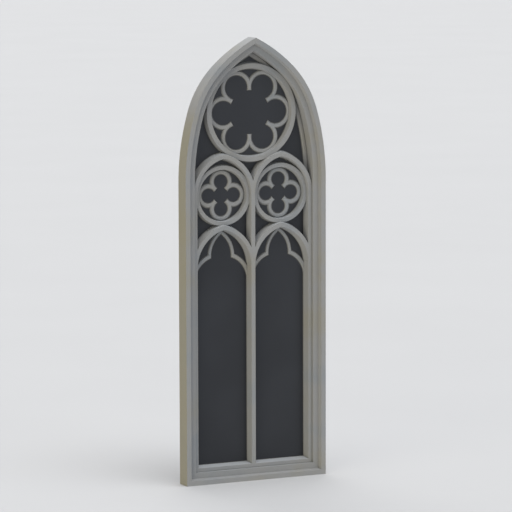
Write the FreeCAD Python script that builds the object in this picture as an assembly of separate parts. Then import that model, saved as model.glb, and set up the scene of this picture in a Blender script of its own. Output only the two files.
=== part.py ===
import FreeCAD, Part
import math
import os

from FreeCAD import Vector

# Two-light pointed window of pale stone with glass, 1.5 m wide and 4.3 m high.
# Millimetres. +X to the right seen from the front, +Y into the wall, +Z up.
# The origin is the middle of the sill's bed face, at mid depth of the frame.
# The stone stands in planes one behind the other: the frame, the main bars, the rings, the foils.

# Driving dimensions
WIDTH = 1500.0            # over the outer faces of the jambs
DEPTH = 168.0             # frame, front to back
GLASS_FACE = 156.0        # depth of the glass behind the front
GLASS_THICKNESS = 6.0
GLASS_EDGE = 80.0         # reach of the glass into the frame, from the frame's outer face

# Outer curve of the main arch: three tangent arcs a side, the last up to the point
SPRING = 2930.0           # springing above the bed
ARCH_RADII = (2396.0, 993.0, 1540.0)
ARCH_TURNS = (16.5, 29.8)
APEX_LAP = 2.0            # degrees by which the last arc is turned past the point and cut back

# Section of the frame: distance in from the outer face, depth behind the front
OUTER_FLAT = 48.0
STEP_FOOT = 60.0
STEP_DEPTH = 44.0
STEP_END = 116.0
RIB_GROOVE = 119.0        # foot of the deep wall in the arch, beside the rib
GROOVE_DEPTH = 150.0
RIB_FLAT = (125.0, 147.0)
RIB_FOOT = 161.0

# Main bars: mullion, lancet arcs and sub-arches, about their centre lines
LIGHT_CENTRE = 308.0      # from the mullion's centre line, and again on to the jamb's bar
BAR_NOSE = 20.5           # half width of the front flat
BAR_BASE = 35.5           # half width at the glass
BAR_DEPTH = 71.0
LANCET_SPRING = 2102.0
LANCET_OFFSET = 88.0      # the arcs are struck this far past the centre of the light
SUBARCH_SPRING = 2801.0
SUBARCH_OFFSET = 75.0

# Rings, set back behind the main bars
RING_DEPTH = 104.0
ROUNDEL = {"z": 2795.0, "radius": 272.0, "nose": 19.5, "base": 26.0}
OCULUS = {"z": 3589.0, "radius": 452.0, "nose": 23.0, "base": 33.0}

# Foils, furthest back. Each pair is a radius at the front of the bar and at the glass.
FOIL_DEPTH = 145.0
QUATREFOIL = {"count": 4, "lobe_at": 133.0, "lobe": (83.0, 72.5), "outside": (105.0, 117.0), "tip": (83.0, 76.5)}
SEXFOIL = {"count": 6, "lobe_at": 280.0, "lobe": (130.0, 119.5), "outside": (152.0, 161.0), "tip": (219.0, 213.5)}

# Cusped head of a lancet: arcs struck from points (towards the jamb from the light's centre, z)
LANCET_HEAD = {"at": (-152.5, 2208.0), "lobe": (266.0, 260.0), "outside": (287.0, 293.0)}
LANCET_SIDE = {"at": (37.5, 1960.0), "lobe": (243.5, 237.5), "outside": (272.0, 278.0)}

HALF = WIDTH / 2
FRONT = -DEPTH / 2
BAR_IN_FRAME = HALF - 2 * LIGHT_CENTRE    # centre line of the bar that lines jambs and sill
CLEAR = 600.0             # reach of the cutting blocks past what they cut
LEAST_PANE = 500.0        # volume below which a scrap of glass is left out
Y_AXIS = Vector(0, 1, 0)


def y_at(depth):
    """Row-frame Y of a depth behind the front face."""
    return FRONT + depth


def face_from(points):
    """A flat face through the corner points."""
    return Part.Face(Part.makePolygon(points + [points[0]]))


def lined_section():
    """Frame section of sill and lower jambs, lined with a main bar: (inward, depth) corners."""
    return [(0, 0), (OUTER_FLAT, 0), (STEP_FOOT, STEP_DEPTH), (STEP_END, STEP_DEPTH),
            (STEP_END, BAR_DEPTH), (BAR_IN_FRAME + BAR_NOSE, BAR_DEPTH),
            (BAR_IN_FRAME + BAR_BASE, GLASS_FACE), (BAR_IN_FRAME + BAR_BASE, DEPTH), (0, DEPTH)]


def ribbed_section():
    """Frame section above the lights: a deep wall with a low rib at its foot."""
    return [(0, 0), (OUTER_FLAT, 0), (STEP_FOOT, STEP_DEPTH), (STEP_END, STEP_DEPTH),
            (RIB_GROOVE, GROOVE_DEPTH), (RIB_FLAT[0], FOIL_DEPTH), (RIB_FLAT[1], FOIL_DEPTH),
            (RIB_FOOT, GLASS_FACE), (RIB_FOOT, DEPTH), (0, DEPTH)]


def bar_section(nose, base, nose_depth):
    """(sideways, depth) corners of a splayed bar about its centre line."""
    return [(-nose, nose_depth), (nose, nose_depth), (base, GLASS_FACE), (base, DEPTH),
            (-base, DEPTH), (-base, GLASS_FACE)]


def half_space(normal_x, normal_z, at=(0.0, 0.0), reach=3 * WIDTH):
    """A large block on the side of a vertical plane that the normal (x, z) points to."""
    length = math.hypot(normal_x, normal_z)
    nx, nz = normal_x / length, normal_z / length
    along = Vector(-nz, 0, nx) * reach
    out = Vector(nx, 0, nz) * reach
    start = Vector(at[0], FRONT - CLEAR, at[1])
    face = face_from([start - along, start + along, start + along + out, start - along + out])
    return face.extrude(Y_AXIS * (DEPTH + 2 * CLEAR))


def mirrored(shape):
    """The same piece on the other side of the window's middle plane."""
    return shape.mirror(Vector(0, 0, 0), Vector(1, 0, 0))


def swept_arc(section, radius, centre, start, turn):
    """The section turned about an axis along Y, from the start angle above the left-hand level."""
    points = [Vector(centre[0] - radius + u, y_at(d), centre[1]) for u, d in section]
    face = face_from(points)
    axis = Vector(centre[0], 0, centre[1])
    face.rotate(axis, Y_AXIS, start)
    return face.revolve(axis, Y_AXIS, turn)


# Frame
def left_jamb():
    """Upright, mitred to the sill; its lining bar ends where the sub-arch springs."""
    lined = face_from([Vector(-HALF + u, y_at(d), 0) for u, d in lined_section()])
    ribbed = face_from([Vector(-HALF + u, y_at(d), SUBARCH_SPRING) for u, d in ribbed_section()])
    jamb = lined.extrude(Vector(0, 0, SUBARCH_SPRING))
    jamb = jamb.fuse(ribbed.extrude(Vector(0, 0, SPRING - SUBARCH_SPRING)))
    return jamb.removeSplitter().cut(half_space(1, -1, (-HALF, 0)))


def sill():
    """Bottom member with the lower jamb's section, mitred to both jambs."""
    points = [Vector(-HALF, y_at(d), u) for u, d in lined_section()]
    member = face_from(points).extrude(Vector(WIDTH, 0, 0))
    return member.cut([half_space(-1, 1, (-HALF, 0)), half_space(1, 1, (HALF, 0))])


def arch_arcs():
    """(centre, radius, start, turn) of the arcs of the left half, from the springing to the point."""
    x, z = ARCH_RADII[0] - HALF, SPRING
    start = 0.0
    arcs = []
    for k, radius in enumerate(ARCH_RADII):
        if k > 0:
            shift = ARCH_RADII[k - 1] - radius
            x -= shift * math.cos(math.radians(start))
            z += shift * math.sin(math.radians(start))
        to_point = math.degrees(math.acos(x / radius)) - start
        turn = ARCH_TURNS[k] if k < len(ARCH_TURNS) else to_point + APEX_LAP
        arcs.append(((x, z), radius, start, turn))
        start += turn
    return arcs


def left_arch():
    """Half of the main arch, cut plumb at the apex."""
    segments = []
    for centre, radius, start, turn in arch_arcs():
        segments.append(swept_arc(ribbed_section(), radius, centre, start, turn))
    return segments[0].fuse(segments[1:]).cut(half_space(1, 0))


# Main bars
def mullion():
    """Straight bar between the lights; the two sub-arches spring from its head."""
    foot = BAR_IN_FRAME + BAR_NOSE
    points = [Vector(u, y_at(d), foot) for u, d in bar_section(BAR_NOSE, BAR_BASE, BAR_DEPTH)]
    return face_from(points).extrude(Vector(0, 0, SUBARCH_SPRING - foot))


def pointed_half(spring, offset):
    """Jamb-side half of a pointed arch over the left light, cut plumb at its point."""
    radius = LIGHT_CENTRE + offset
    turn = math.degrees(math.acos(offset / radius)) + 6
    section = bar_section(BAR_NOSE, BAR_BASE, BAR_DEPTH)
    arc = swept_arc(section, radius, (offset - LIGHT_CENTRE, spring), 0, turn)
    return arc.cut(half_space(1, 0, (-LIGHT_CENTRE, 0)))


def opposite_half(shape):
    """The mullion-side half of a left-light piece, from the jamb-side half."""
    other = shape.mirror(Vector(-LIGHT_CENTRE, 0, 0), Vector(1, 0, 0))
    return other.cut(half_space(1, 0))


# Rings and foils
def splayed_disc(x, z, radii):
    """A disc of the foil's depth: the first radius at its face, the second at the glass and behind."""
    front = Vector(x, y_at(FOIL_DEPTH), z)
    face = Vector(x, y_at(GLASS_FACE), z)
    cone = Part.makeCone(radii[0], radii[1], GLASS_FACE - FOIL_DEPTH, front, Y_AXIS)
    return cone.fuse(Part.makeCylinder(radii[1], DEPTH - GLASS_FACE, face, Y_AXIS))


def tip_block(x, z, foil):
    """Central splayed block whose flats cut the cusp tips square."""
    count = foil["count"]
    outlines = []
    for distance, depth in ((foil["tip"][0], FOIL_DEPTH), (foil["tip"][1], GLASS_FACE)):
        corner = distance / math.cos(math.pi / count)
        turns = [2 * math.pi * k / count for k in range(count)]
        points = [Vector(x + corner * math.cos(a), y_at(depth), z + corner * math.sin(a)) for a in turns]
        outlines.append(Part.makePolygon(points + [points[0]]))
    splayed = Part.makeLoft(outlines, True, True)
    behind = Part.Face(outlines[1]).extrude(Y_AXIS * (DEPTH - GLASS_FACE))
    return splayed.fuse(behind)


def foil_bars(x, z, foil):
    """Bars around the lobes of a foil, ended square at the cusps."""
    count = foil["count"]
    turns = [2 * math.pi * k / count for k in range(count)]
    centres = [(x + foil["lobe_at"] * math.cos(a), z + foil["lobe_at"] * math.sin(a)) for a in turns]
    outsides = [splayed_disc(cx, cz, foil["outside"]) for cx, cz in centres]
    lobes = [splayed_disc(cx, cz, foil["lobe"]) for cx, cz in centres]
    return outsides[0].fuse(outsides[1:]).cut(lobes + [tip_block(x, z, foil)])


def ring_stone(x, ring, foil, index):
    """One segment of a foiled ring: the joints are in the lobes, so each holds one cusp."""
    z = ring["z"]
    step = 360 / foil["count"]
    start, end = math.radians(index * step), math.radians((index + 1) * step)
    after_start = half_space(-math.sin(start), math.cos(start), (x, z))
    before_end = half_space(math.sin(end), -math.cos(end), (x, z))
    cusp = foil_bars(x, z, foil).common(after_start).common(before_end)
    section = bar_section(ring["nose"], ring["base"], RING_DEPTH)
    segment = swept_arc(section, ring["radius"], (x, z), 180 - (index + 1) * step, step)
    return segment.fuse(cusp).removeSplitter()


def lancet_foil():
    """Jamb-side half of the cusped head in the left lancet: a side lobe and half of the point."""
    head_x, head_z = -LIGHT_CENTRE - LANCET_HEAD["at"][0], LANCET_HEAD["at"][1]
    side_x, side_z = -LIGHT_CENTRE - LANCET_SIDE["at"][0], LANCET_SIDE["at"][1]
    cusp_foot = (head_z + side_z) / 2
    head = splayed_disc(head_x, head_z, LANCET_HEAD["outside"]).common(half_space(0, 1, (0, cusp_foot)))
    side = splayed_disc(side_x, side_z, LANCET_SIDE["outside"]).common(half_space(0, 1, (0, side_z)))
    inside_head = splayed_disc(head_x, head_z, LANCET_HEAD["lobe"])
    inside_side = splayed_disc(side_x, side_z, LANCET_SIDE["lobe"])
    bars = head.fuse(side).cut([inside_head, inside_side])
    return bars.common(half_space(-1, 0, (-LIGHT_CENTRE, 0))).removeSplitter()


def largest_solid(shape):
    """Drop the slivers that a cut leaves beside a piece."""
    return max(shape.Solids, key=lambda solid: solid.Volume)


def build_stones():
    """All stone pieces; each later piece is cut back to the ones it meets."""
    stones = {}

    def add(name, shape):
        others = [s for s in stones.values() if s.BoundBox.intersect(shape.BoundBox)]
        stones[name] = largest_solid(shape.cut(others)) if others else shape

    jamb, arch = left_jamb(), left_arch()
    add("sill", sill())
    stones["left_jamb"], stones["right_jamb"] = jamb, mirrored(jamb)
    stones["left_arch"], stones["right_arch"] = arch, mirrored(arch)
    add("mullion", mullion())
    lancet = pointed_half(LANCET_SPRING, LANCET_OFFSET)
    subarch = pointed_half(SUBARCH_SPRING, SUBARCH_OFFSET)
    for label, half in (("lancet", lancet), ("subarch", subarch)):
        for side, place in (("left", lambda s: s), ("right", mirrored)):
            add(side + "_" + label + "_jamb_arc", place(half))
            add(side + "_" + label + "_mullion_arc", place(opposite_half(half)))
    for side, x in (("left", -LIGHT_CENTRE), ("right", LIGHT_CENTRE)):
        for k in range(QUATREFOIL["count"]):
            add(side + "_roundel_stone_" + str(k + 1), ring_stone(x, ROUNDEL, QUATREFOIL, k))
    for k in range(SEXFOIL["count"]):
        add("oculus_stone_" + str(k + 1), ring_stone(0, OCULUS, SEXFOIL, k))
    foil = lancet_foil()
    for side, place in (("left", lambda s: s), ("right", mirrored)):
        add(side + "_lancet_foil_jamb_half", place(foil))
        add(side + "_lancet_foil_mullion_half", place(opposite_half(foil)))
    return stones


def glazing_plate():
    """One sheet over the whole opening, before the stone is taken out of it."""
    edge = HALF - GLASS_EDGE
    corners = [Vector(-edge, 0, SPRING), Vector(-edge, 0, GLASS_EDGE), Vector(edge, 0, GLASS_EDGE),
               Vector(edge, 0, SPRING)]
    edges = [Part.LineSegment(a, b).toShape() for a, b in zip(corners, corners[1:])]
    for side in (-1, 1):
        foot = Vector(side * edge, 0, SPRING)
        for (x, z), radius, start, turn in arch_arcs():
            reach = radius - GLASS_EDGE
            end = min(math.radians(start + turn), math.acos(x / reach))
            points = []
            for angle in ((math.radians(start) + end) / 2, end):
                points.append(Vector(side * (reach * math.cos(angle) - x), 0, z + reach * math.sin(angle)))
            edges.append(Part.Arc(foot, points[0], points[1]).toShape())
            foot = points[1]
    outline = Part.Wire(Part.__sortEdges__(edges))
    sheet = Part.Face(outline).extrude(Y_AXIS * GLASS_THICKNESS)
    sheet.translate(Vector(0, y_at(GLASS_FACE), 0))
    return sheet


def opening_of(x, z):
    """Name of the glass node for a pane whose centre is at x, z."""
    side = "left" if x < 0 else "right"
    from_light = abs(abs(x) - LIGHT_CENTRE)
    if math.hypot(x, z - OCULUS["z"]) < OCULUS["radius"]:
        return "oculus_glass"
    if math.hypot(from_light, z - ROUNDEL["z"]) < ROUNDEL["radius"]:
        return side + "_roundel_glass"
    from_arc_centre = math.hypot(from_light + LANCET_OFFSET, z - LANCET_SPRING)
    if z < LANCET_SPRING or from_arc_centre < LIGHT_CENTRE + LANCET_OFFSET:
        return side + "_light_glass"
    return "spandrel_glass"


def build_glass(stones):
    """The panes left between the stones, gathered by the opening they fill."""
    groups = {}
    for pane in glazing_plate().cut(list(stones.values())).Solids:
        if pane.Volume > LEAST_PANE:
            middle = pane.CenterOfMass
            groups.setdefault(opening_of(middle.x, middle.z), []).append(pane)
    return {name: Part.makeCompound(solids) for name, solids in groups.items()}


def main():
    os.makedirs("parts", exist_ok=True)
    stones = build_stones()
    nodes = dict(stones)
    nodes.update(build_glass(stones))
    for name, shape in nodes.items():
        shape.exportStep("parts/" + name + ".step")
        print(name, len(shape.Solids), shape.isValid(), round(shape.Volume / 1e6, 3))


main()
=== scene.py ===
import math

import bmesh
import bpy
from mathutils import Matrix, Vector


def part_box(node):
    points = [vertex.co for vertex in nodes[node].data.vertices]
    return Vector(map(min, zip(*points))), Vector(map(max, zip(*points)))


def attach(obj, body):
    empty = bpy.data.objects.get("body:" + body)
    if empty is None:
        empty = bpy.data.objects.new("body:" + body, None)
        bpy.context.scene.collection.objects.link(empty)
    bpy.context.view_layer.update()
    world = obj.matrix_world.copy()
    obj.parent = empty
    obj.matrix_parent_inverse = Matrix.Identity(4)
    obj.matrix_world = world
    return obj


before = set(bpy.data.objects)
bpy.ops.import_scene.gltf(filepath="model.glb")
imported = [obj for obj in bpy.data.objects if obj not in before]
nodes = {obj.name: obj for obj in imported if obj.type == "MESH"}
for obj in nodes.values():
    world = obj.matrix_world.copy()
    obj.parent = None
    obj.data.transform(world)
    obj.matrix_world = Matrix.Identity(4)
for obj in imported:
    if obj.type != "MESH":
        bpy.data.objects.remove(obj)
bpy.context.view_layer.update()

# Viewpoint: a long lens from about thirty metres off, a little to the left of the window and
# above its sill, as the photograph was taken. The aim is a point of the frame's front plane.
view_left = math.radians(-25.6)
view_up = math.radians(6.96)
view_roll = math.radians(-0.149)
focal_length_px = 3291.0
image_width_px = 512.0
view_distance = 31.85
frame_front_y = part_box("sill")[0].y
aim = Vector((-0.0066, frame_front_y, 2.2046))
away = Vector((math.sin(view_left) * math.cos(view_up),
               -math.cos(view_left) * math.cos(view_up),
               math.sin(view_up)))
level_right = Vector((math.cos(view_left), math.sin(view_left), 0.0))
level_up = away.cross(level_right)
right = level_right * math.cos(view_roll) + level_up * math.sin(view_roll)
up = level_up * math.cos(view_roll) - level_right * math.sin(view_roll)
camera_data = bpy.data.cameras.new("camera")
camera_data.sensor_width = 36.0
camera_data.lens = camera_data.sensor_width * focal_length_px / image_width_px
camera_data.clip_end = 500.0
camera = bpy.data.objects.new("camera", camera_data)
turned = Matrix((right, up, away)).transposed().to_4x4()
camera.matrix_world = Matrix.Translation(aim + away * view_distance) @ turned
bpy.context.scene.collection.objects.link(camera)
bpy.context.scene.camera = camera
bpy.context.scene.view_settings.view_transform = "Standard"


# Stone of the frame and the tracery: a fine-grained grey limestone, rubbed smooth, clouded
# warmer and cooler. Painted shade darkens the valleys; arrises are paler, partly rubbed wear and
# partly a painted highlight; upward faces carry painted light from above, paler and cooler. The
# outer side faces carry a painted warm tint of light falling from the side.
class Socket:
    """A shader socket that can be used in Python expressions."""

    def __init__(self, tree, socket):
        self.tree = tree
        self.socket = socket

    def node(self, kind, settings=None, output=0, **inputs):
        """A new node's output; inputs are given by name, or as i0, i1 ... by number."""
        made = self.tree.nodes.new(kind)
        for key, value in (settings or {}).items():
            setattr(made, key, value)
        for key, value in inputs.items():
            numbered = key[0] == "i" and key[1:].isdigit()
            found = made.inputs[int(key[1:])] if numbered else made.inputs[key.replace("_", " ")]
            if isinstance(value, Socket):
                self.tree.links.new(value.socket, found)
            else:
                found.default_value = value
        return Socket(self.tree, made.outputs[output])

    def math(self, operation, other=0.0):
        return self.node("ShaderNodeMath", {"operation": operation}, i0=self, i1=other)

    def __add__(self, other):
        return self.math("ADD", other)

    __radd__ = __add__

    def __mul__(self, other):
        return self.math("MULTIPLY", other)

    __rmul__ = __mul__

    def __sub__(self, other):
        return self.math("SUBTRACT", other)

    def __rsub__(self, other):
        return self.node("ShaderNodeMath", {"operation": "SUBTRACT"}, i0=other, i1=self)

    def ramp(self, low, high):
        """0 below low, 1 above high, smooth between."""
        smooth = {"interpolation_type": "SMOOTHSTEP"}
        return self.node("ShaderNodeMapRange", smooth, i0=self, i1=low, i2=high)

    def noise(self, scale, detail=2.0, roughness=0.5):
        return self.node("ShaderNodeTexNoise", None, Vector=self, Scale=scale, Detail=detail,
                         Roughness=roughness)

    def dot(self, other):
        return self.node("ShaderNodeVectorMath", {"operation": "DOT_PRODUCT"}, 1, i0=self, i1=other)

    def mix(self, first, second):
        """Colour between first and second by this factor."""
        return self.node("ShaderNodeMix", {"data_type": "RGBA"}, 2, i0=self, i6=first, i7=second)

    def blend(self, first, second):
        """Vector between first and second by this factor."""
        return self.node("ShaderNodeMix", {"data_type": "VECTOR"}, 1, i0=self, i4=first, i5=second)


def new_material(name):
    """An empty node material, its Principled shader, and its Object coordinates."""
    material = bpy.data.materials.new(name)
    material.use_nodes = True
    tree = material.node_tree
    shader = tree.nodes["Principled BSDF"]
    place = Socket(tree, tree.nodes.new("ShaderNodeTexCoord").outputs["Object"])
    return material, shader, place


def feed(shader, **values):
    """Link sockets to the shader's inputs of those names, and set plain values on them."""
    for key, value in values.items():
        found = shader.inputs[key.replace("_", " ")]
        if isinstance(value, Socket):
            value.tree.links.new(value.socket, found)
        else:
            found.default_value = value


def rubbed_limestone():
    material, shader, place = new_material("rubbed_limestone")
    body = (0.256, 0.253, 0.247, 1.0)
    warm = (0.256, 0.245, 0.216, 1.0)
    cool = (0.233, 0.240, 0.245, 1.0)
    pore = (0.150, 0.146, 0.134, 1.0)
    # The next four colours paint shade in the corners, paler arrises (rubbed wear and painted highlight),
    # light from above and warm light from the side.
    painted_corner_shade = (0.085, 0.086, 0.080, 1.0)
    pale_wear_and_highlight = (0.330, 0.328, 0.318, 1.0)
    painted_side_warmth = (0.248, 0.224, 0.150, 1.0)
    painted_top_light = (0.350, 0.362, 0.372, 1.0)
    clouds = place.noise(1.7, 3.0)
    mottle = place.noise(13.0, 4.0, 0.6)
    grain = place.noise(420.0, 3.0, 0.7)
    flecks = place.noise(95.0, 3.0, 0.65)
    pits = place.node("ShaderNodeTexVoronoi", None, 0, Vector=place, Scale=75.0)
    pit = (1.0 - pits.ramp(0.05, 0.13)) * place.noise(6.0, 2.0).ramp(0.50, 0.66)
    colour = clouds.ramp(0.50, 0.68).mix(body, warm)
    colour = (1.0 - clouds.ramp(0.34, 0.50)).mix(colour, cool)
    colour = (mottle.ramp(0.45, 0.75) * 0.30).mix(colour, cool)
    colour = (grain.ramp(0.52, 0.72) * 0.25).mix(colour, pore)
    colour = (flecks.ramp(0.56, 0.74) * 0.16).mix(colour, pale_wear_and_highlight)
    colour = (pit * 0.55).mix(colour, pore)
    rounded = place.node("ShaderNodeBevel", {"samples": 6}, 0, Radius=0.003)
    surface = place.node("ShaderNodeNewGeometry", None, 1)
    sideways = (1.0, 0.0, 0.0)
    upwards = (0.0, 0.0, 1.0)
    across = place.dot(sideways)
    outward = across.math("SIGN") * surface.dot(sideways)
    # Painted warm light: the outer side faces are tinted warm, as if lit from the side.
    outer_face = outward.ramp(0.45, 1.0) * across.math("ABSOLUTE").ramp(0.62, 0.72)
    colour = (outer_face * 0.70).mix(colour, painted_side_warmth)
    # Painted light from above: upward faces are made paler and cooler.
    lit_from_above_mask = surface.dot(upwards).ramp(0.72, 1.0) * place.dot(upwards).ramp(0.10, 0.14)
    colour = (lit_from_above_mask * 0.60).mix(colour, painted_top_light)
    # Where a stone thins to a feather edge, the rounding would take in its hidden side.
    whole = rounded.dot(surface).ramp(0.45, 0.75)
    arris = whole.blend(surface, rounded)
    # Arrises made paler: partly rubbed wear, partly a painted highlight.
    edge = (1.0 - rounded.dot(surface)).ramp(0.01, 0.20) * whole
    colour = (edge * 0.35).mix(colour, pale_wear_and_highlight)
    # Painted shade: occlusion darkens the colour in corners and valleys.
    corner = place.node("ShaderNodeAmbientOcclusion", {"samples": 8}, 1, Distance=0.018)
    colour = ((1.0 - corner).ramp(0.14, 0.60) * 0.48).mix(colour, painted_corner_shade)
    relief = grain * 0.30 + flecks * 0.5 + place.noise(38.0, 2.0) - pit
    bump = place.node("ShaderNodeBump", None, 0, Strength=0.35, Distance=0.001, Height=relief, Normal=arris)
    feed(shader, Base_Color=colour, Roughness=0.76 + mottle * 0.14, Normal=bump, Specular_IOR_Level=0.3)
    return material


stone_finish = rubbed_limestone()
for name, node in nodes.items():
    if not name.endswith("glass"):
        node.material_slots[0].material = stone_finish


# Glass between the bars: dark, nearly opaque sheets, let in close to the back of the stone.
# Old drawn glass, so it is not quite flat, and the sheets differ a little in tone.
def dark_glass():
    material, shader, place = new_material("dark_glass")
    tone = place.noise(1.3, 2.0).ramp(0.35, 0.65)
    colour = tone.mix((0.0170, 0.0182, 0.0218, 1.0), (0.0206, 0.0220, 0.0262, 1.0))
    waves = place.noise(2.5, 0.0)
    bump = place.node("ShaderNodeBump", None, 0, Strength=0.05, Distance=0.01, Height=waves)
    feed(shader, Base_Color=colour, Roughness=0.33 + tone * 0.05, Normal=bump, Specular_IOR_Level=0.3)
    return material


glass_finish = dark_glass()
for name, node in nodes.items():
    if name.endswith("glass"):
        node.material_slots[0].material = glass_finish


# Mortar that beds each pane: a small fillet of grey lime mortar, run round the front of the
# pane and sloped up against the stone. Each starts from the outline of its pane's front.
def lime_mortar():
    material, shader, place = new_material("lime_mortar")
    sand = place.noise(300.0, 3.0, 0.7)
    colour = sand.ramp(0.35, 0.65).mix((0.100, 0.097, 0.089, 1.0), (0.150, 0.146, 0.134, 1.0))
    bump = place.node("ShaderNodeBump", None, 0, Strength=0.5, Distance=0.001, Height=sand)
    feed(shader, Base_Color=colour, Roughness=0.88 + sand * 0.06, Normal=bump, Specular_IOR_Level=0.2)
    return material


def on_grid(point):
    """A corner's place to the hundredth of a millimetre, to know it again."""
    return tuple(round(value, 5) for value in point)


fillet_width = 0.0045
fillet_rise = 0.0035
feather_rise = 0.0004     # at the fillet's thin inner edge
weld_distance = 0.00002
faces_front = -0.9        # a face's normal along Y, at or below which it is a pane's front
flat_within = 0.01        # radians
mortar_finish = lime_mortar()
for name, node in nodes.items():
    if not name.endswith("glass"):
        continue
    shape = bmesh.new()
    shape.from_mesh(node.data)
    bmesh.ops.remove_doubles(shape, verts=shape.verts[:], dist=weld_distance)
    not_front = [face for face in shape.faces if face.normal.y > faces_front]
    bmesh.ops.delete(shape, geom=not_front, context="FACES")
    bmesh.ops.dissolve_limit(shape, angle_limit=flat_within, verts=shape.verts[:], edges=shape.edges[:])
    panes = shape.faces[:]
    rim = [edge for edge in shape.edges if edge.is_boundary]
    outline = {on_grid(corner.co) for edge in rim for corner in edge.verts}
    strip = bmesh.ops.inset_region(shape, faces=panes, thickness=fillet_width, use_boundary=True)
    bmesh.ops.delete(shape, geom=panes, context="FACES")
    raised = bmesh.ops.extrude_face_region(shape, geom=strip["faces"], use_keep_orig=True)
    for corner in raised["geom"]:
        if isinstance(corner, bmesh.types.BMVert):
            corner.co.y -= fillet_rise if on_grid(corner.co) in outline else feather_rise
    bmesh.ops.recalc_face_normals(shape, faces=shape.faces[:])
    mesh = bpy.data.meshes.new(name.replace("glass", "mortar"))
    shape.to_mesh(mesh)
    shape.free()
    mesh.materials.append(mortar_finish)
    mortar = bpy.data.objects.new(mesh.name, mesh)
    bpy.context.scene.collection.objects.link(mortar)
    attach(mortar, "root")


# Studio: a wide pale floor and a soft sky, with large soft lights above, on the left and a
# little warm, on the right and a little cool, low in front to fill the undersides of the
# arches, and behind. The floor throws no shadow, so it doesn't cut off the low light.
def floor_finish():
    material, shader, place = new_material("studio_floor")
    pale = place.noise(0.4, 2.0).mix((0.465, 0.460, 0.456, 1.0), (0.485, 0.480, 0.476, 1.0))
    feed(shader, Base_Color=pale, Roughness=0.9, Specular_IOR_Level=0.1)
    return material


floor_reach = 200.0
floor_shape = bmesh.new()
bmesh.ops.create_grid(floor_shape, x_segments=1, y_segments=1, size=floor_reach)
floor_mesh = bpy.data.meshes.new("floor")
floor_shape.to_mesh(floor_mesh)
floor_shape.free()
floor_mesh.materials.append(floor_finish())
floor = bpy.data.objects.new("floor", floor_mesh)
bpy.context.scene.collection.objects.link(floor)
floor.visible_shadow = False


def soft_sun(name, towards, softness, power, colour):
    """A parallel light that comes from the given direction, spread over the given angle."""
    data = bpy.data.lights.new(name, "SUN")
    data.angle = math.radians(softness)
    data.energy = power * math.pi
    data.color = colour
    lamp = bpy.data.objects.new(name, data)
    lamp.rotation_euler = Vector(towards).to_track_quat("Z", "Y").to_euler()
    bpy.context.scene.collection.objects.link(lamp)


soft_sun("light_above", (0.08, -0.18, 0.98), 50.0, 1.02, (0.97, 0.99, 1.02))
soft_sun("light_left", (-0.86, -0.50, 0.05), 50.0, 0.42, (1.0, 0.94, 0.74))
soft_sun("light_right", (0.55, -0.82, 0.15), 60.0, 0.17, (0.84, 0.97, 1.15))
soft_sun("light_low", (-0.50, -0.42, -0.76), 60.0, 0.34, (1.0, 0.99, 0.96))
soft_sun("light_behind", (0.20, 0.90, 0.35), 60.0, 0.50, (1.0, 1.0, 1.0))
world = bpy.data.worlds.new("studio_sky")
world.use_nodes = True
sky = world.node_tree.nodes["Background"]
light_path = world.node_tree.nodes.new("ShaderNodeLightPath").outputs
straight, glossy, through = (Socket(world.node_tree, light_path["Is %s Ray" % kind])
                             for kind in ("Camera", "Glossy", "Transmission"))
sky_light = (0.25, 0.26, 0.28, 1.0)
backdrop = (0.730, 0.735, 0.750, 1.0)
feed(sky, Color=(straight + glossy + through).mix(sky_light, backdrop), Strength=1.0)
bpy.context.scene.world = world
